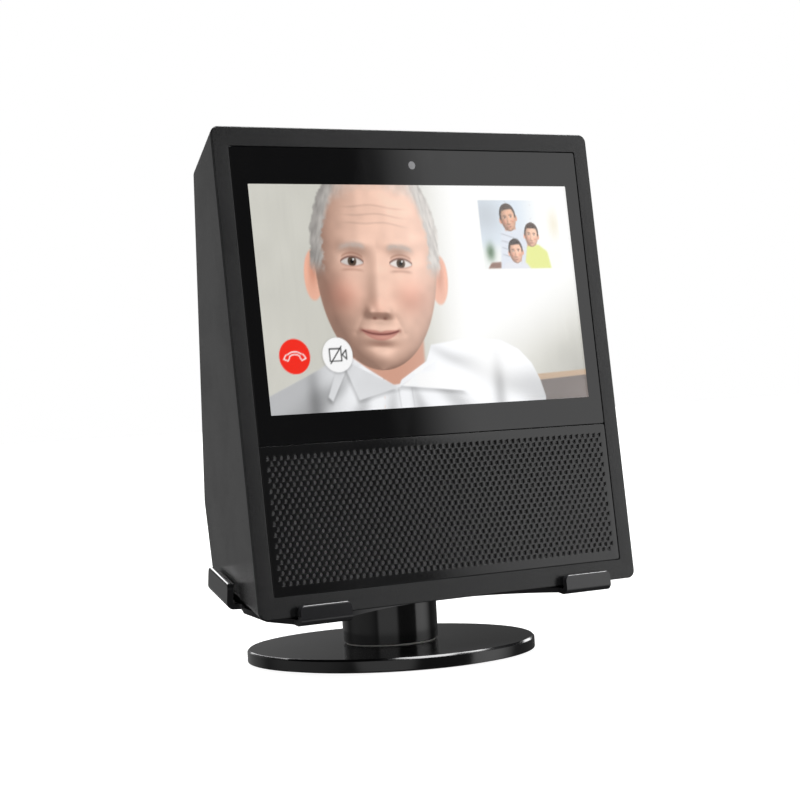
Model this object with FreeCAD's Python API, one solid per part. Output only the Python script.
import FreeCAD, Part
import math
import os

# Smart display with a wedge-shaped cabinet, held in a lipped cradle on a round swivel stand.
# Millimetres, +Z up, the front faces -Y. The origin is the centre of the stand's underside.
#
# Three frames are used. The stand is drawn in the world frame. The cabinet is drawn in the
# "cabinet" frame: x across, y into the cabinet, z up along its front face, from the middle of the
# front face's lower edge. The cradle is drawn in the "tray" frame: the same x and the same origin,
# with y along the cabinet's underside and z square to it.

V = FreeCAD.Vector

# ---- cabinet ----
CABINET_WIDTH = 187.0       # across the front face
CABINET_HEIGHT = 196.0      # along the front face
LEAN = 5.5                  # the front face leans back, degrees
TAPER = 15.0                # all four sides close in towards the back, degrees
FRONT_Y = -53.7             # lower front edge of the cabinet
FRONT_Z = 27.1
CORNER_R = 3.5
WALL = 2.6
FRONT_CHAMFER = 0.8
BACK_TOP = (34.0, 187.0)    # depth and height where the top meets the sloping back
BACK_KINK = (73.5, 51.6)    # where the back turns down to the lower rear face
BACK_FOOT = (70.2, 18.8)    # lower rear edge
BACK_EDGE_R = 4.0

# ---- front panels ----
FRAME_DEPTH = 5.0
OPENING_WIDTH = 172.0
OPENING_LOW = 8.6
OPENING_HIGH = 187.9
OPENING_R = 0.8
PANEL_SPLIT = 67.9          # height of the seam between grille and glass
PANEL_GAP = 0.25
GLASS_THICK = 1.2
GRILLE_THICK = 0.7
CLOTH_INSET = 2.0           # cloth behind the grille, inside the opening
GASKET_THICK = 0.5
SCREEN_WIDTH = 158.0
SCREEN_LOW = 79.8
SCREEN_HIGH = 172.6
LCD_MARGIN = 2.5
LCD_GAP = 0.3               # round the screen panel
LCD_THICK = 2.2
BACKLIGHT_THICK = 3.0
BACKLIGHT_MARGIN = 1.5
BRACKET_FRONT = 8.0
BRACKET_THICK = 0.8
BRACKET_SCREW_X = 85.0
BRACKET_SCREW_HEIGHTS = (95.0, 160.0)
BRACKET_HALF_WIDTH = 87.5
BRACKET_LOW = 76.6
BRACKET_HIGH = 176.4
RIB_XS = (-40.0, 0.0, 40.0)
RIB_HALF_LENGTH = 14.0
CAMERA_HEIGHT = 181.0
CAMERA_WINDOW_R = 3.6
LENS_R = 2.4
LENS_BALL_R = 6.0
LIGHT_SENSOR_X = -20.0

# ---- sound ----
DRIVER_X = 44.0
DRIVER_HEIGHT = 39.5
DRIVER_FLANGE_R = 24.0
DRIVER_FLANGE_THICK = 2.0
BASKET_FRONT_R = 21.5
BASKET_BACK_R = 13.0
BASKET_WALL = 1.5
BASKET_HOLES = 6
SURROUND_R = 17.2
SURROUND_ROLL_R = 1.7
CONE_FRONT_R = 15.4
CONE_BACK_R = 6.0
CONE_DEPTH = 8.0
PAPER = 0.5
DOME_R = 8.0
BASKET_DEPTH = 12.0
MAGNET_R = 15.5
MAGNET_THICK = 11.0
BOX_FRONT = 8.0
BOX_BACK = 50.0
BOX_HALF_WIDTH = 71.0
BOX_LOW = 16.0
BOX_HIGH = 66.0
BOX_WALL = 2.2
SOUND_HALF_WIDTH = 78.0     # opening in the frame behind the grille
SOUND_LOW = 13.0
SOUND_HIGH = 66.0

# ---- electronics ----
BOARD_FRONT = 20.0
BOARD_THICK = 1.6
BOARD_HALF_WIDTH = 60.0
BOARD_LOW = 82.0
BOARD_HIGH = 168.0
STANDOFF_X = 54.0
STANDOFF_INSET = 6.0        # from the board's upper and lower edges
STANDOFF_R = 3.0
BOARD_SCREW_R = 1.5
CHIPS = ((0.0, 127.0, 18.0, 18.0, 1.5), (20.0, 127.0, 12.0, 10.0, 1.2),
         (-23.0, 145.0, 14.0, 10.0, 1.4), (-24.0, 105.0, 12.0, 10.0, 1.0))
SOCKETS = ((0.0, 86.0, 22.0, 5.0, 3.0), (-30.0, 86.0, 12.0, 4.0, 2.5), (30.0, 86.0, 12.0, 4.0, 2.5))
POWER_SOCKET = (46.0, 90.0, 8.0, 8.0, 4.0)   # each: x, height, width, tall, thick
SPREADER_HALF_WIDTH = 34.0
SPREADER_LOW = 104.0
SPREADER_HIGH = 150.0
SPREADER_THICK = 2.0
FIN_PITCH = 6.0
FIN_THICK = 1.2
FIN_TALL = 5.0
ANTENNA_X = 76.0
ANTENNA_LOW = 122.0
ANTENNA_HIGH = 158.0
ANTENNA_DEEP = 9.0
JACK_HEIGHT = 36.0
JACK_FACE = 70.5            # depth of the inlet's outer face
JACK_R = 4.4
JACK_BORE_R = 2.8
JACK_BORE_DEPTH = 9.5
JACK_PIN_R = 1.0
JACK_BODY = 11.0            # the square body inside the housing
JACK_FLOOR = 2.0
LEAD_DEPTH = 54.0           # the power lead climbs behind the speaker box
LEAD_TURN_HEIGHT = 78.0
LEAD_R = 1.6
SPEAKER_LEAD_X = 30.0
SPEAKER_LEAD_R = 0.9
RIBBON_HALF_WIDTH = 9.0
RIBBON_THICK = 0.3

# ---- top buttons ----
BUTTON_XS = {"microphone_button": -24.0, "volume_down_button": 0.0, "volume_up_button": 24.0}
BUTTON_DEPTH = 17.0         # how far behind the front face they stand
BUTTON_R = 5.0
BUTTON_PROUD = 0.9
BUTTON_GAP = 0.4
BUTTON_FLANGE = 1.2
BUTTON_LENGTH = 3.2         # below the cabinet's top
BUTTON_BOARD_HALF_WIDTH = 60.0
BUTTON_BOARD_TOP = -8.0
BUTTON_BOARD_THICK = 1.2
SWITCH_TOP = -4.95
MICROPHONE_XS = (-56.0, -48.0, -40.0, 40.0, 48.0, 56.0)
MICROPHONE_HOLE_R = 0.6

# ---- fasteners ----
SCREW_XS = (-66.0, 66.0)
SCREW_HEIGHTS = (71.3, 181.0)
TOWER_R = 4.0
TOWER_FRONT = 12.0
WELL_FRONT = 15.0
WELL_R = 3.0
BOSS_R = 3.5
BOSS_LENGTH = 7.0
SCREW_R = 1.5
SMALL_BOSS_R = 2.4
SMALL_SCREW_R = 1.25
FREE_HOLE = 0.1             # radial room round a screw's shank

# ---- cradle ----
TRAY_TOP = -1.0             # below the cabinet's underside
TRAY_THICK = 2.2
SHEET = 2.5                 # thickness of the lips
FRONT_LIP_X = 65.0
FRONT_LIP_WIDTH = 23.6
FRONT_LIP_GAP = 1.2
FRONT_LIP_TOP = 4.4
SIDE_LIP_GAP = 2.0
SIDE_LIP_FROM = 34.0
SIDE_LIP_LENGTH = 33.0
SIDE_LIP_TOP = 7.2
LIP_CORNER_R = 2.5
LIP_RADII = (0, 2.8, 1.1, 1.1, 0.8, 0)   # along a lip's section, from the tray's underside
TRAY_WAIST = ((84.5, 10.0), (86.0, 26.0))   # where the tray narrows in front of a side lip
TRAY_BACK = 78.0            # the curved back edge
TRAY_HOLLOW = 12.4          # the curved front edge
LIP_PAD_HALF_WIDTH = 8.0
FOOT_R = 6.0
FOOT_PLACES = ((-55.0, 20.0), (55.0, 20.0), (-50.0, 62.0), (50.0, 62.0))
FOOT_RECESS = 1.5
REST_GAP = 0.3              # cabinet feet above the tray

# ---- stand ----
DISC_R = 62.0
DISC_TOP = 6.2
DISC_LIFT = 0.8
DISC_CHAMFER = 0.8
PAD_R = 57.0
PAD_INNER_R = 16.0
PAD_THICK = 1.8
POST_R = 20.5
POST_WALL = 3.0
POST_BOTTOM = 6.8
POST_FLOOR = 12.0
CAP_THICK = 5.0
BOLT_R = 4.0
BOLT_HEAD_R = 7.5
BUSH_R = 7.0
RUNNING_FIT = 0.06
BUSH_BOTTOM = 4.0
BUSH_FLANGE_R = 10.0
BUSH_FLANGE_THICK = 0.5
WASHER_THICK = 0.3
BOLT_HEAD_BOTTOM = 0.9
BOLT_HEAD_THICK = 1.6
BOLT_KEY_R = 2.5
BOLT_LENGTH = 13.5
SPRING_THICK = 0.7
NUT_R = 7.0
NUT_THICK = 3.5
RECESS_R = 12.0             # under the disc, for the bolt's head
TRAY_SCREW_CIRCLE = 11.0
TRAY_SCREW_R = 2.0
TRAY_SCREW_HEAD_R = 3.9
TRAY_SCREW_LENGTH = 5.0
LONG = 200.0                # longer than the whole object, for cutting shapes

TAN = math.tan(math.radians(TAPER))
SIN = math.sin(math.radians(TAPER))
COS = math.cos(math.radians(TAPER))
HALF = CABINET_WIDTH / 2
NODES = {}


# ---- shapes ----
def box(x0, x1, y0, y1, z0, z1):
    return Part.makeBox(x1 - x0, y1 - y0, z1 - z0, V(x0, y0, z0))


def rod(base, direction, radius, length):
    return Part.makeCylinder(radius, length, V(*base), V(*direction))


def tube(base, direction, outer, inner, length):
    return rod(base, direction, outer, length).cut(rod(base, direction, inner, length))


def cone(base, direction, radius0, radius1, length):
    return Part.makeCone(radius0, radius1, length, V(*base), V(*direction))


def fuse(shapes):
    shapes = list(shapes)
    return shapes[0].multiFuse(shapes[1:]).removeSplitter() if len(shapes) > 1 else shapes[0]


def group(shapes):
    return Part.makeCompound(list(shapes))


def rounded_wire(points, radii):
    """A closed wire through points, with each corner rounded to its own radius."""
    edges, starts, ends = [], [], []
    count = len(points)
    for i, point in enumerate(points):
        before = (points[i - 1] - point).normalize()
        after = (points[(i + 1) % count] - point).normalize()
        radius = radii[i]
        if radius <= 0:
            starts.append(point)
            ends.append(point)
            continue
        half = before.getAngle(after) / 2
        reach = radius / math.tan(half)
        middle = (before + after).normalize() * (radius / math.sin(half) - radius)
        first, last = point + before * reach, point + after * reach
        edges.append((i, Part.Arc(first, point + middle, last).toShape()))
        starts.append(first)
        ends.append(last)
    arcs = dict(edges)
    ordered = []
    for i in range(count):
        if i in arcs:
            ordered.append(arcs[i])
        following = starts[(i + 1) % count]
        if (following - ends[i]).Length > 1e-6:
            ordered.append(Part.LineSegment(ends[i], following).toShape())
    return Part.Wire(ordered)


def outline(half_width, low, high, depth, radius):
    """A rounded rectangle across the cabinet at one depth."""
    corners = [V(-half_width, depth, low), V(half_width, depth, low),
               V(half_width, depth, high), V(-half_width, depth, high)]
    return rounded_wire(corners, [radius] * 4)


def slab(half_width, low, high, depth0, depth1, radius):
    face = Part.Face(outline(half_width, low, high, depth0, radius))
    return face.extrude(V(0, depth1 - depth0, 0))


def tapered(depth0, depth1, inset):
    """The cabinet's tapering block between two depths, drawn in by inset on every side."""
    wires = []
    for depth in (depth0, depth1):
        draw_in = depth * TAN + inset
        wires.append(outline(HALF - draw_in, draw_in, CABINET_HEIGHT - draw_in, depth,
                             max(CORNER_R - inset, 1.5)))
    return Part.makeLoft(wires, True, True)


def side_profile(inset):
    """The cabinet's side view as a slab across its whole width, drawn in from the back."""
    slope = math.atan2(BACK_KINK[0] - BACK_TOP[0], BACK_TOP[1] - BACK_KINK[1])
    back = inset / math.cos(slope)
    points = [V(-HALF, -1, -1), V(-HALF, -1, CABINET_HEIGHT + 1),
              V(-HALF, BACK_TOP[0] - back - TAN, CABINET_HEIGHT + 1),
              V(-HALF, BACK_TOP[0] - back, BACK_TOP[1]),
              V(-HALF, BACK_KINK[0] - back, BACK_KINK[1]),
              V(-HALF, BACK_FOOT[0] - back, BACK_FOOT[1] - 1),
              V(-HALF, BACK_FOOT[0] - back - 3, -1)]
    radii = [0, 0, 0, BACK_EDGE_R, BACK_EDGE_R, BACK_EDGE_R, 0]
    return Part.Face(rounded_wire(points, radii)).extrude(V(CABINET_WIDTH, 0, 0))


# ---- the three frames ----
def in_cabinet(shape):
    placed = shape.copy()
    placed.rotate(V(0, 0, 0), V(1, 0, 0), -LEAN)
    placed.translate(V(0, FRONT_Y, FRONT_Z))
    return placed


def in_tray(shape):
    placed = shape.copy()
    placed.rotate(V(0, 0, 0), V(1, 0, 0), TAPER)
    return in_cabinet(placed)


def keep(name, shape, placing=None):
    NODES[name] = placing(shape) if placing else shape


def screw(x, y, z, direction, head_r, head_h, shank_r, shank_length):
    """A pan-head screw whose head starts at the point given and whose shank follows direction."""
    d = V(*direction)
    head = Part.makeCylinder(head_r, head_h, V(x, y, z), d)
    drive = Part.makeCylinder(head_r * 0.4, head_h * 0.6, V(x, y, z), d)
    shank = Part.makeCylinder(shank_r, shank_length, V(x, y, z) + d * head_h, d)
    return head.cut(drive).fuse(shank)


# ---- cabinet pieces ----
def front_frame():
    body = tapered(FRONT_CHAMFER, FRAME_DEPTH, 0)
    rim = []
    for depth, inset in ((0, FRONT_CHAMFER), (FRONT_CHAMFER, FRONT_CHAMFER * TAN)):
        rim.append(outline(HALF - inset, inset, CABINET_HEIGHT - inset, depth, CORNER_R - inset))
    body = body.fuse(Part.makeLoft(rim, True, True))
    body = body.cut(slab(OPENING_WIDTH / 2, OPENING_LOW, OPENING_HIGH, -1,
                         GLASS_THICK + GASKET_THICK, OPENING_R))
    body = body.cut(screen_block(0, FRAME_DEPTH + 1, LCD_MARGIN + LCD_GAP))
    body = body.cut(box(-SOUND_HALF_WIDTH, SOUND_HALF_WIDTH, 0, FRAME_DEPTH + 1, SOUND_LOW, SOUND_HIGH))
    body = body.cut(rod((0, 0, CAMERA_HEIGHT), (0, 1, 0), CAMERA_WINDOW_R, FRAME_DEPTH + 1))
    bosses = []
    for x in SCREW_XS:
        for z in SCREW_HEIGHTS:
            bosses.append(tube((x, FRAME_DEPTH, z), (0, 1, 0), BOSS_R, SCREW_R, BOSS_LENGTH))
    for x in (-BRACKET_SCREW_X, BRACKET_SCREW_X):
        for z in BRACKET_SCREW_HEIGHTS:
            bosses.append(tube((x, FRAME_DEPTH, z), (0, 1, 0), SMALL_BOSS_R, SMALL_SCREW_R,
                               BRACKET_FRONT - FRAME_DEPTH))
    return fuse([body] + bosses)


def rear_housing():
    outer = tapered(FRAME_DEPTH, BACK_KINK[0] + 1, 0).common(side_profile(0))
    inner = tapered(FRAME_DEPTH - 0.5, BACK_KINK[0] + 1, WALL).common(side_profile(WALL))
    shell = outer.cut(inner)
    for x in SCREW_XS:
        for z in SCREW_HEIGHTS:
            tower = rod((x, TOWER_FRONT, z), (0, 1, 0), TOWER_R, LONG).common(outer)
            well = rod((x, WELL_FRONT, z), (0, 1, 0), WELL_R, LONG)
            through = rod((x, TOWER_FRONT - 1, z), (0, 1, 0), SCREW_R + FREE_HOLE, 10)
            shell = shell.fuse(tower).cut(well).cut(through)
    shell = shell.cut(rod((0, BOX_BACK, JACK_HEIGHT), (0, 1, 0), JACK_R + 0.2, LONG))
    for x in BUTTON_XS.values():
        shell = shell.cut(on_top(rod((x, 0, -10), (0, 0, 1), BUTTON_R + BUTTON_GAP, 20)))
    for x in MICROPHONE_XS:
        shell = shell.cut(on_top(rod((x, 0, -10), (0, 0, 1), MICROPHONE_HOLE_R, 20)))
    for x, depth in FOOT_PLACES:
        shell = shell.cut(under(rod((x, depth, -1), (0, 0, 1), FOOT_R + 0.1, FOOT_RECESS + 1)))
    return shell.removeSplitter()


def on_top(shape):
    """Moves a shape drawn about the origin, z up, onto the sloping top at the buttons' depth."""
    placed = shape.copy()
    placed.rotate(V(0, 0, 0), V(1, 0, 0), -TAPER)
    placed.translate(V(0, BUTTON_DEPTH, CABINET_HEIGHT - BUTTON_DEPTH * TAN))
    return placed


def under(shape):
    """Turns a shape drawn on the flat onto the cabinet's sloping underside."""
    placed = shape.copy()
    placed.rotate(V(0, 0, 0), V(1, 0, 0), TAPER)
    return placed


def cabinet_feet():
    depth = FOOT_RECESS - TRAY_TOP - REST_GAP
    return group(under(rod((x, y, TRAY_TOP + REST_GAP), (0, 0, 1), FOOT_R, depth))
                 for x, y in FOOT_PLACES)


def cover_glass():
    low = PANEL_SPLIT + PANEL_GAP / 2
    return slab(OPENING_WIDTH / 2 - PANEL_GAP, low, OPENING_HIGH - PANEL_GAP, 0, GLASS_THICK,
                OPENING_R)


def glass_gasket():
    low = PANEL_SPLIT + PANEL_GAP / 2
    outer = slab(OPENING_WIDTH / 2 - 1, low + 1, OPENING_HIGH - 1, GLASS_THICK,
                 GLASS_THICK + GASKET_THICK, OPENING_R)
    outer = outer.cut(screen_block(0, FRAME_DEPTH, LCD_MARGIN + LCD_GAP + 0.1))
    outer = outer.cut(rod((0, 0, CAMERA_HEIGHT), (0, 1, 0), CAMERA_WINDOW_R, FRAME_DEPTH))
    return outer.cut(box(LIGHT_SENSOR_X - 2, LIGHT_SENSOR_X + 2, 0, FRAME_DEPTH,
                         CAMERA_HEIGHT - 2.5, CAMERA_HEIGHT + 2.5))


def screen_block(depth0, depth1, margin):
    half = SCREEN_WIDTH / 2 + margin
    return box(-half, half, depth0, depth1, SCREEN_LOW - margin, SCREEN_HIGH + margin)


def speaker_grille():
    return slab(OPENING_WIDTH / 2 - PANEL_GAP, OPENING_LOW + PANEL_GAP, PANEL_SPLIT - PANEL_GAP / 2,
                0, GRILLE_THICK, OPENING_R)


def acoustic_cloth():
    half = OPENING_WIDTH / 2 - CLOTH_INSET
    return box(-half, half, GRILLE_THICK, GLASS_THICK + GASKET_THICK, OPENING_LOW + CLOTH_INSET,
               PANEL_SPLIT - CLOTH_INSET)


def display_bracket():
    front = BRACKET_FRONT
    plate = box(-BRACKET_HALF_WIDTH, BRACKET_HALF_WIDTH, front, front + BRACKET_THICK,
                BRACKET_LOW, BRACKET_HIGH)
    for x in (-BRACKET_SCREW_X, BRACKET_SCREW_X):
        for z in BRACKET_SCREW_HEIGHTS:
            plate = plate.cut(rod((x, 0, z), (0, 1, 0), SMALL_SCREW_R + 0.15, 20))
    slot = RIBBON_HALF_WIDTH + 3
    plate = plate.cut(box(-slot, slot, 0, 20, 84, 88))
    for x in RIB_XS:
        rib = box(x - RIB_HALF_LENGTH, x + RIB_HALF_LENGTH, front + BRACKET_THICK, front + 2.2, 110, 112)
        plate = plate.fuse(rib)
    return plate


def bracket_screws():
    front = BRACKET_FRONT + BRACKET_THICK
    return group(screw(x, front + 1.2, z, (0, -1, 0), 2.2, 1.2, 1.2, 3.5)
                 for x in (-BRACKET_SCREW_X, BRACKET_SCREW_X) for z in BRACKET_SCREW_HEIGHTS)


def speaker_box():
    outer = box(-BOX_HALF_WIDTH, BOX_HALF_WIDTH, BOX_FRONT, BOX_BACK, BOX_LOW, BOX_HIGH)
    wall = BOX_WALL
    divided = []
    for x0, x1 in ((-BOX_HALF_WIDTH + wall, -wall / 2), (wall / 2, BOX_HALF_WIDTH - wall)):
        divided.append(box(x0, x1, BOX_FRONT + wall, BOX_BACK - wall, BOX_LOW + wall, BOX_HIGH - wall))
    for x in (-DRIVER_X, DRIVER_X):
        divided.append(rod((x, BOX_FRONT - 1, DRIVER_HEIGHT), (0, 1, 0), DRIVER_FLANGE_R - 2, 5))
    for cavity in divided:
        outer = outer.cut(cavity)
    return outer


def driver(side, x):
    along = (0, 1, 0)
    start = (x, BOX_FRONT, DRIVER_HEIGHT)
    face = (x, BOX_FRONT - 1, DRIVER_HEIGHT)
    back = BOX_FRONT + BASKET_DEPTH
    flange = tube((x, BOX_FRONT - DRIVER_FLANGE_THICK, DRIVER_HEIGHT), along, DRIVER_FLANGE_R,
                  SURROUND_R + SURROUND_ROLL_R + 0.1, DRIVER_FLANGE_THICK)
    shell = cone(start, along, BASKET_FRONT_R, BASKET_BACK_R, BASKET_DEPTH)
    shell = shell.cut(cone(start, along, BASKET_FRONT_R - BASKET_WALL, BASKET_BACK_R - BASKET_WALL,
                           BASKET_DEPTH))
    floor = tube((x, back - BASKET_WALL, DRIVER_HEIGHT), along, BASKET_BACK_R, CONE_BACK_R, BASKET_WALL)
    basket = fuse([flange, shell, floor])
    for turn in range(BASKET_HOLES):
        angle = 2 * math.pi * (turn + 0.5) / BASKET_HOLES
        aim = (math.cos(angle), 0, math.sin(angle))
        basket = basket.cut(rod((x, BOX_FRONT + BASKET_DEPTH / 2, DRIVER_HEIGHT), aim, 3, 30))
    keep(side + "_speaker_basket", basket, in_cabinet)

    magnet = rod((x, back, DRIVER_HEIGHT), along, MAGNET_R, MAGNET_THICK)
    keep(side + "_speaker_magnet", magnet, in_cabinet)

    surround = Part.makeTorus(SURROUND_R, SURROUND_ROLL_R, V(*face), V(*along))
    lower = rod(face, along, DRIVER_FLANGE_R, 2 * SURROUND_ROLL_R)
    keep(side + "_speaker_surround", surround.cut(lower), in_cabinet)

    paper = cone(face, along, CONE_FRONT_R, CONE_BACK_R, CONE_DEPTH)
    paper = paper.cut(cone(face, along, CONE_FRONT_R - PAPER, CONE_BACK_R - PAPER, CONE_DEPTH))
    middle = V(x, BOX_FRONT + DOME_R + 2.3, DRIVER_HEIGHT)
    dome = Part.makeSphere(DOME_R, middle).cut(Part.makeSphere(DOME_R - PAPER, middle))
    dome = dome.common(rod(start, along, CONE_BACK_R + 0.1, 5.5))
    keep(side + "_speaker_cone", paper.fuse(dome), in_cabinet)


def standoff_spots():
    heights = (BOARD_LOW + STANDOFF_INSET, BOARD_HIGH - STANDOFF_INSET)
    return [(x, z) for x in (-STANDOFF_X, STANDOFF_X) for z in heights]


def board_block(part, depth, way):
    """A chip or socket that stands on the board's face at depth, backwards or forwards."""
    x, height, width, tall, thick = part
    ends = sorted((depth, depth + way * thick))
    return box(x - width / 2, x + width / 2, ends[0], ends[1], height - tall / 2, height + tall / 2)


def main_board():
    back = BOARD_FRONT + BOARD_THICK
    board = box(-BOARD_HALF_WIDTH, BOARD_HALF_WIDTH, BOARD_FRONT, back, BOARD_LOW, BOARD_HIGH)
    for x, z in standoff_spots():
        board = board.cut(rod((x, BOARD_FRONT - 1, z), (0, 1, 0), BOARD_SCREW_R + FREE_HOLE, 4))
    blocks = [board_block(chip, back, 1) for chip in CHIPS + (POWER_SOCKET,)]
    blocks += [board_block(socket, BOARD_FRONT, -1) for socket in SOCKETS]
    return fuse([board] + blocks)


def board_standoffs():
    start = BRACKET_FRONT + BRACKET_THICK
    return group(tube((x, start, z), (0, 1, 0), STANDOFF_R, BOARD_SCREW_R, BOARD_FRONT - start)
                 for x, z in standoff_spots())


def board_screws():
    head = 1.6
    back = BOARD_FRONT + BOARD_THICK + head
    return group(screw(x, back, z, (0, -1, 0), 2.6, head, BOARD_SCREW_R, 6)
                 for x, z in standoff_spots())


def heat_spreader():
    front = BOARD_FRONT + BOARD_THICK + CHIPS[0][-1]
    back = front + SPREADER_THICK
    plate = box(-SPREADER_HALF_WIDTH, SPREADER_HALF_WIDTH, front, back, SPREADER_LOW, SPREADER_HIGH)
    fins = []
    for number in range(-5, 6):
        x = number * FIN_PITCH
        fins.append(box(x - FIN_THICK / 2, x + FIN_THICK / 2, back, back + FIN_TALL,
                        SPREADER_LOW + 2, SPREADER_HIGH - 2))
    return fuse([plate] + fins)


def camera_module():
    body = box(-4.5, 4.5, FRAME_DEPTH, FRAME_DEPTH + 4, CAMERA_HEIGHT - 4.2, CAMERA_HEIGHT + 4.2)
    barrel = rod((0, GLASS_THICK + 0.9, CAMERA_HEIGHT), (0, 1, 0), 3.2, FRAME_DEPTH)
    seat = rod((0, 0, CAMERA_HEIGHT), (0, 1, 0), LENS_R, GLASS_THICK + 2.5)
    return body.fuse(barrel).cut(seat)


def camera_lens():
    base = (0, GLASS_THICK + 1.0, CAMERA_HEIGHT)
    flat = rod(base, (0, 1, 0), LENS_R, 1.5)
    ball = Part.makeSphere(LENS_BALL_R, V(0, base[1] + LENS_BALL_R - 0.1, CAMERA_HEIGHT))
    return flat.common(ball)


def button_board():
    top = BUTTON_BOARD_TOP
    plate = box(-BUTTON_BOARD_HALF_WIDTH, BUTTON_BOARD_HALF_WIDTH, -5, 7, top - BUTTON_BOARD_THICK, top)
    switches = [box(x - 3, x + 3, -3, 3, top, SWITCH_TOP) for x in BUTTON_XS.values()]
    microphones = [box(x - 2, x + 2, -1.5, 1.5, top, top + 1.1) for x in MICROPHONE_XS]
    return on_top(fuse([plate] + switches + microphones))


def button_posts():
    """Short posts that carry the button board under the top wall."""
    spots = [(x, y) for x in (-33, 33) for y in (-3, 5)]
    tall = -BUTTON_BOARD_TOP - WALL * COS
    return group(on_top(rod((x, y, BUTTON_BOARD_TOP), (0, 0, 1), 1.5, tall)) for x, y in spots)


def top_button(x):
    cap = rod((x, 0, -BUTTON_LENGTH), (0, 0, 1), BUTTON_R, BUTTON_LENGTH + BUTTON_PROUD)
    rim = [e for e in cap.Edges if e.CenterOfMass.z > BUTTON_PROUD - 0.01]
    cap = cap.makeFillet(0.4, rim)
    bottom = -BUTTON_LENGTH - 0.8
    flange = rod((x, 0, bottom), (0, 0, 1), BUTTON_R + BUTTON_FLANGE, -bottom - WALL - 0.35)
    return on_top(cap.fuse(flange))


def power_jack():
    front = JACK_FACE - JACK_BORE_DEPTH - JACK_FLOOR
    half = JACK_BODY / 2
    body = box(-half, half, front, JACK_FACE - 4.5, JACK_HEIGHT - half, JACK_HEIGHT + half)
    sleeve = rod((0, front, JACK_HEIGHT), (0, 1, 0), JACK_R, JACK_FACE - front)
    bore = rod((0, JACK_FACE - JACK_BORE_DEPTH, JACK_HEIGHT), (0, 1, 0), JACK_BORE_R, 20)
    return body.fuse(sleeve).cut(bore)


def power_jack_pin():
    base = (0, JACK_FACE - JACK_BORE_DEPTH, JACK_HEIGHT)
    return rod(base, (0, 1, 0), JACK_PIN_R, JACK_BORE_DEPTH - 1.0)


def run_of_wire(points, radius):
    """Straight lengths of wire joined by balls at the bends."""
    shapes = []
    for a, b in zip(points, points[1:]):
        a, b = V(*a), V(*b)
        shapes.append(Part.makeCylinder(radius, (b - a).Length, a, b - a))
    shapes += [Part.makeSphere(radius, V(*p)) for p in points[1:-1]]
    return fuse(shapes)


def power_lead():
    start = JACK_FACE - JACK_BORE_DEPTH - JACK_FLOOR
    x, height, _, _, thick = POWER_SOCKET
    points = [(0, start, JACK_HEIGHT), (0, LEAD_DEPTH, JACK_HEIGHT), (0, LEAD_DEPTH, LEAD_TURN_HEIGHT),
              (x, LEAD_DEPTH, height), (x, BOARD_FRONT + BOARD_THICK + thick, height)]
    return run_of_wire(points, LEAD_R)


def speaker_leads():
    runs = []
    for x in (-SPEAKER_LEAD_X, SPEAKER_LEAD_X):
        for offset in (-1.6, 1.6):
            runs.append(rod((x + offset, BOARD_FRONT - 1.4, BOX_HIGH), (0, 0, 1), SPEAKER_LEAD_R,
                            84 - BOX_HIGH))
    return group(runs)


def display_ribbon():
    height = SOCKETS[0][1]
    return box(-RIBBON_HALF_WIDTH, RIBBON_HALF_WIDTH, LCD_THICK + BACKLIGHT_THICK + GLASS_THICK,
               BOARD_FRONT - SOCKETS[0][-1], height - RIBBON_THICK, height)


def wifi_antennas():
    start = BRACKET_FRONT + BRACKET_THICK
    return group(box(x - 0.5, x + 0.5, start, start + ANTENNA_DEEP, ANTENNA_LOW, ANTENNA_HIGH)
                 for x in (-ANTENNA_X, ANTENNA_X))


def light_sensor():
    return box(LIGHT_SENSOR_X - 1.5, LIGHT_SENSOR_X + 1.5, GLASS_THICK, GLASS_THICK + GASKET_THICK - 0.05,
               CAMERA_HEIGHT - 2, CAMERA_HEIGHT + 2)


def housing_screws():
    return group(screw(x, WELL_FRONT + 2.4, z, (0, -1, 0), WELL_R - 0.2, 2.4, SCREW_R, 9.5)
                 for x in SCREW_XS for z in SCREW_HEIGHTS)


# ---- cradle pieces ----
def front_lip_profile():
    """Section of a front lip and its bend, in the tray frame's y and z."""
    def face_point(offset, height):
        along = (height - offset * SIN) / COS
        return V(0, -offset * COS + along * SIN, height)
    bottom = TRAY_TOP - TRAY_THICK
    outer = FRONT_LIP_GAP + SHEET
    top = FRONT_LIP_TOP
    corners = [V(0, 16, bottom), face_point(outer, bottom), face_point(outer, top + outer * SIN),
               face_point(FRONT_LIP_GAP, top + FRONT_LIP_GAP * SIN),
               face_point(FRONT_LIP_GAP, TRAY_TOP), V(0, 16, TRAY_TOP)]
    return corners


def lip_mask(length, top):
    """A slab with two rounded upper corners, which trims the ends of a lip."""
    corners = [V(0, -20, -20), V(length, -20, -20), V(length, -20, top), V(0, -20, top)]
    return Part.Face(rounded_wire(corners, [0, 0, LIP_CORNER_R, LIP_CORNER_R])).extrude(V(0, 45, 0))


def front_lip(x):
    lip = Part.Face(rounded_wire(front_lip_profile(), LIP_RADII)).extrude(V(FRONT_LIP_WIDTH, 0, 0))
    mask = lip_mask(FRONT_LIP_WIDTH, FRONT_LIP_TOP)
    mask.rotate(V(0, 0, 0), V(1, 0, 0), -TAPER)
    lip = lip.common(mask)
    lip.translate(V(x - FRONT_LIP_WIDTH / 2, 0, 0))
    return lip


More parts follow.
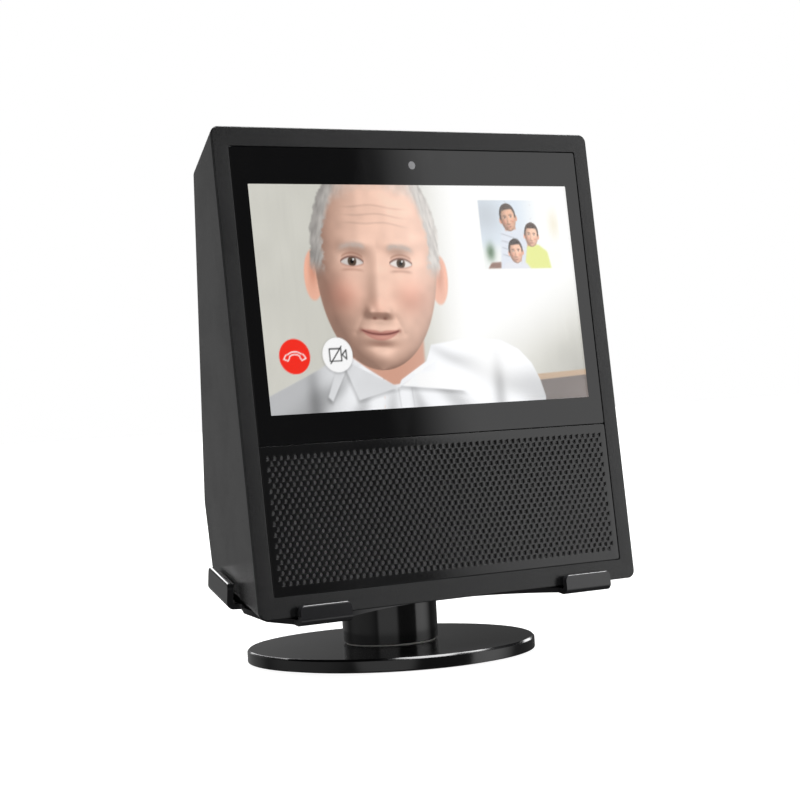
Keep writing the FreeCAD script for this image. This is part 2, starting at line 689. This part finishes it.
def side_lip(side):
    """A lip along the cabinet's side, set square to the tray."""
    bottom = TRAY_TOP - TRAY_THICK
    outer = SIDE_LIP_GAP + SHEET
    corners = [V(-16, 0, bottom), V(outer, 0, bottom), V(outer, 0, SIDE_LIP_TOP),
               V(SIDE_LIP_GAP, 0, SIDE_LIP_TOP), V(SIDE_LIP_GAP, 0, TRAY_TOP), V(-16, 0, TRAY_TOP)]
    lip = Part.Face(rounded_wire(corners, LIP_RADII)).extrude(V(0, SIDE_LIP_LENGTH, 0))
    mask = lip_mask(SIDE_LIP_LENGTH, SIDE_LIP_TOP)
    mask.rotate(V(0, 0, 0), V(0, 0, 1), 90)
    lip = lip.common(mask)
    lip.translate(V(0, SIDE_LIP_FROM, 0))
    lip.rotate(V(0, 0, 0), V(0, 0, 1), math.degrees(math.atan(SIN)))
    lip.translate(V(HALF, 0, 0))
    return lip if side > 0 else lip.mirror(V(0, 0, 0), V(1, 0, 0))


def tray_plate():
    """The flat of the cradle: hollowed between the front lips, waisted at its corners."""
    bottom = TRAY_TOP - TRAY_THICK
    edge = FRONT_LIP_X - FRONT_LIP_WIDTH / 2
    outer = FRONT_LIP_X + FRONT_LIP_WIDTH / 2
    back = SIDE_LIP_FROM + SIDE_LIP_LENGTH
    waist = [V(x, y, bottom) for x, y in TRAY_WAIST]
    right = [V(edge, 2, bottom), V(outer, 2, bottom), *waist,
             V(HALF - SIDE_LIP_FROM * SIN - 1, SIDE_LIP_FROM - 2, bottom),
             V(HALF - SIDE_LIP_FROM * SIN, SIDE_LIP_FROM, bottom), V(HALF - back * SIN, back, bottom)]
    left = [V(-p.x, p.y, p.z) for p in reversed(right)]
    lines = []
    for run in (right, left):
        for a, b in zip(run, run[1:]):
            lines.append(Part.LineSegment(a, b).toShape())
    rear = Part.Arc(right[-1], V(0, TRAY_BACK, bottom), left[0]).toShape()
    hollow = Part.Arc(left[-1], V(0, TRAY_HOLLOW, bottom), right[0]).toShape()
    edges = lines[:len(right) - 1] + [rear] + lines[len(right) - 1:] + [hollow]
    return Part.Face(Part.Wire(edges)).extrude(V(0, 0, TRAY_THICK))


def tray_screw_spots():
    centre = post_centre_on_tray()
    spots = []
    for turn in range(3):
        angle = math.radians(120 * turn + 90)
        spots.append((TRAY_SCREW_CIRCLE * math.cos(angle), centre + TRAY_SCREW_CIRCLE * math.sin(angle)))
    return spots


def post_centre_on_tray():
    """Distance along the tray from the front edge to the post's axis, at the tray's underside."""
    slope = math.radians(TAPER - LEAN)
    return (-FRONT_Y + (TRAY_TOP - TRAY_THICK) * math.sin(slope)) / math.cos(slope)


def cradle_tray():
    pieces = [tray_plate()] + [front_lip(s * FRONT_LIP_X) for s in (-1, 1)]
    pieces += [side_lip(s) for s in (-1, 1)]
    tray = pieces[0]
    for piece in pieces[1:]:
        tray = tray.fuse(piece)
    for x, y in tray_screw_spots():
        tray = tray.cut(countersink(x, y))
    return tray.removeSplitter()


def countersink(x, y):
    hole, mouth = TRAY_SCREW_R + FREE_HOLE, TRAY_SCREW_HEAD_R + 0.2
    flare = cone((x, y, TRAY_TOP - TRAY_THICK), (0, 0, 1), hole, mouth, TRAY_THICK)
    return flare.fuse(rod((x, y, TRAY_TOP - 3), (0, 0, 1), hole, 3))


def tray_screws():
    screws = []
    for x, y in tray_screw_spots():
        head = cone((x, y, TRAY_TOP - 2.1), (0, 0, 1), TRAY_SCREW_R, TRAY_SCREW_HEAD_R, 2.0)
        drive = rod((x, y, TRAY_TOP - 1.1), (0, 0, 1), 1.2, 2)
        shank = rod((x, y, TRAY_TOP - 2.0 - TRAY_SCREW_LENGTH), (0, 0, 1), TRAY_SCREW_R, TRAY_SCREW_LENGTH)
        screws.append(head.cut(drive).fuse(shank))
    return group(screws)


def lip_pads():
    """Thin cushions glued inside the lips."""
    pads = []
    for side in (-1, 1):
        x = side * FRONT_LIP_X
        pads.append(box(x - LIP_PAD_HALF_WIDTH, x + LIP_PAD_HALF_WIDTH, -FRONT_LIP_GAP, -0.4, -0.2, 3.0))
        pads[-1].rotate(V(0, 0, 0), V(1, 0, 0), -TAPER)
    slant = math.degrees(math.atan(SIN))
    for side in (-1, 1):
        pad = box(0.9, SIDE_LIP_GAP, SIDE_LIP_FROM + 4, SIDE_LIP_FROM + SIDE_LIP_LENGTH - 4, 0.6, 6.4)
        pad.rotate(V(0, 0, 0), V(0, 0, 1), slant)
        pad.translate(V(HALF, 0, 0))
        pads.append(pad if side > 0 else pad.mirror(V(0, 0, 0), V(1, 0, 0)))
    return group(pads)


# ---- stand pieces ----
def base_disc():
    body = rod((0, 0, DISC_LIFT), (0, 0, 1), DISC_R, DISC_TOP - DISC_LIFT)
    rim = [e for e in body.Edges if e.CenterOfMass.z > DISC_TOP - 0.01 and len(e.Vertexes) == 1]
    body = body.makeChamfer(DISC_CHAMFER, rim)
    body = body.cut(tube((0, 0, 0), (0, 0, 1), PAD_R, PAD_INNER_R, PAD_THICK))
    body = body.cut(rod((0, 0, 0), (0, 0, 1), RECESS_R, BUSH_BOTTOM))
    return body.cut(rod((0, 0, 0), (0, 0, 1), BUSH_R, 20))


def base_foot_pad():
    return tube((0, 0, 0), (0, 0, 1), PAD_R, PAD_INNER_R, PAD_THICK)


def pivot_bush():
    bore = BOLT_R + RUNNING_FIT
    sleeve = tube((0, 0, BUSH_BOTTOM), (0, 0, 1), BUSH_R, bore, DISC_TOP - BUSH_BOTTOM)
    flange = tube((0, 0, BUSH_BOTTOM - BUSH_FLANGE_THICK), (0, 0, 1), BUSH_FLANGE_R, bore,
                  BUSH_FLANGE_THICK)
    return sleeve.fuse(flange)


def thrust_washer():
    return tube((0, 0, DISC_TOP), (0, 0, 1), POST_R - 1.2, BOLT_R + 1.0, WASHER_THICK)


def pivot_bolt():
    bottom = (0, 0, BOLT_HEAD_BOTTOM)
    head = rod(bottom, (0, 0, 1), BOLT_HEAD_R, BOLT_HEAD_THICK).cut(rod(bottom, (0, 0, 1), BOLT_KEY_R, 1.0))
    return head.fuse(rod((0, 0, BOLT_HEAD_BOTTOM + BOLT_HEAD_THICK), (0, 0, 1), BOLT_R, BOLT_LENGTH))


def spring_washer():
    bottom = BOLT_HEAD_BOTTOM + BOLT_HEAD_THICK
    return tube((0, 0, bottom), (0, 0, 1), BOLT_HEAD_R + 1.0, BOLT_R + 0.1, SPRING_THICK)


def below_tray(shape, drop):
    """Cuts a shape off square to the tray, a given drop below the tray's underside."""
    bottom = TRAY_TOP - TRAY_THICK - drop
    return shape.cut(in_tray(box(-LONG, LONG, -LONG, LONG, bottom, bottom + LONG)))


def post():
    column = rod((0, 0, POST_BOTTOM), (0, 0, 1), POST_R, LONG)
    column = column.cut(rod((0, 0, POST_FLOOR), (0, 0, 1), POST_R - POST_WALL, LONG))
    column = column.cut(rod((0, 0, 0), (0, 0, 1), BOLT_R, LONG))
    return below_tray(column, 0)


def post_cap():
    plug = rod((0, 0, POST_FLOOR), (0, 0, 1), POST_R - POST_WALL, LONG)
    plug = below_tray(plug, 0).cut(below_tray(plug, CAP_THICK))
    for x, y in tray_screw_spots():
        plug = plug.cut(in_tray(rod((x, y, TRAY_TOP - 40), (0, 0, 1), TRAY_SCREW_R, 50)))
    return plug


def bolt_nut():
    corners = []
    for number in range(7):
        angle = math.radians(60 * number)
        corners.append(V(NUT_R * math.cos(angle), NUT_R * math.sin(angle), POST_FLOOR))
    nut = Part.Face(Part.Wire(Part.makePolygon(corners))).extrude(V(0, 0, NUT_THICK))
    return nut.cut(rod((0, 0, 0), (0, 0, 1), BOLT_R, LONG))


def build():
    screen_front = GLASS_THICK
    light_front = screen_front + LCD_THICK
    keep("front_frame", front_frame(), in_cabinet)
    keep("rear_housing", rear_housing(), in_cabinet)
    keep("cover_glass", cover_glass(), in_cabinet)
    keep("glass_gasket", glass_gasket(), in_cabinet)
    keep("lcd_panel", screen_block(screen_front, light_front, LCD_MARGIN), in_cabinet)
    keep("backlight_unit", screen_block(light_front, light_front + BACKLIGHT_THICK, BACKLIGHT_MARGIN),
         in_cabinet)
    keep("display_bracket", display_bracket(), in_cabinet)
    keep("bracket_screws", bracket_screws(), in_cabinet)
    keep("speaker_grille", speaker_grille(), in_cabinet)
    keep("acoustic_cloth", acoustic_cloth(), in_cabinet)
    keep("speaker_box", speaker_box(), in_cabinet)
    driver("left", -DRIVER_X)
    driver("right", DRIVER_X)
    keep("main_board", main_board(), in_cabinet)
    keep("board_standoffs", board_standoffs(), in_cabinet)
    keep("board_screws", board_screws(), in_cabinet)
    keep("heat_spreader", heat_spreader(), in_cabinet)
    keep("camera_module", camera_module(), in_cabinet)
    keep("camera_lens", camera_lens(), in_cabinet)
    keep("light_sensor", light_sensor(), in_cabinet)
    keep("button_board", button_board(), in_cabinet)
    keep("button_board_posts", button_posts(), in_cabinet)
    keep("power_jack", power_jack(), in_cabinet)
    keep("power_jack_pin", power_jack_pin(), in_cabinet)
    keep("power_lead", power_lead(), in_cabinet)
    keep("speaker_leads", speaker_leads(), in_cabinet)
    keep("display_ribbon", display_ribbon(), in_cabinet)
    keep("wifi_antennas", wifi_antennas(), in_cabinet)
    keep("housing_screws", housing_screws(), in_cabinet)
    keep("cabinet_feet", cabinet_feet(), in_cabinet)
    for name, x in BUTTON_XS.items():
        keep(name, top_button(x), in_cabinet)
    keep("cradle_tray", cradle_tray(), in_tray)
    keep("tray_screws", tray_screws(), in_tray)
    keep("lip_pads", lip_pads(), in_tray)
    keep("post", post())
    keep("post_cap", post_cap())
    keep("pivot_bolt", pivot_bolt())
    keep("bolt_nut", bolt_nut())
    keep("spring_washer", spring_washer())
    keep("base_disc", base_disc())
    keep("base_foot_pad", base_foot_pad())
    keep("pivot_bush", pivot_bush())
    keep("thrust_washer", thrust_washer())


build()
os.makedirs("parts", exist_ok=True)
for node, solid in NODES.items():
    solid.exportStep("parts/" + node + ".step")
    limits = solid.BoundBox
    print("%-24s solids %d valid %s  volume %9.1f  x %.1f..%.1f y %.1f..%.1f z %.1f..%.1f" % (
        node, len(solid.Solids), solid.isValid(), solid.Volume, limits.XMin, limits.XMax,
        limits.YMin, limits.YMax, limits.ZMin, limits.ZMax))
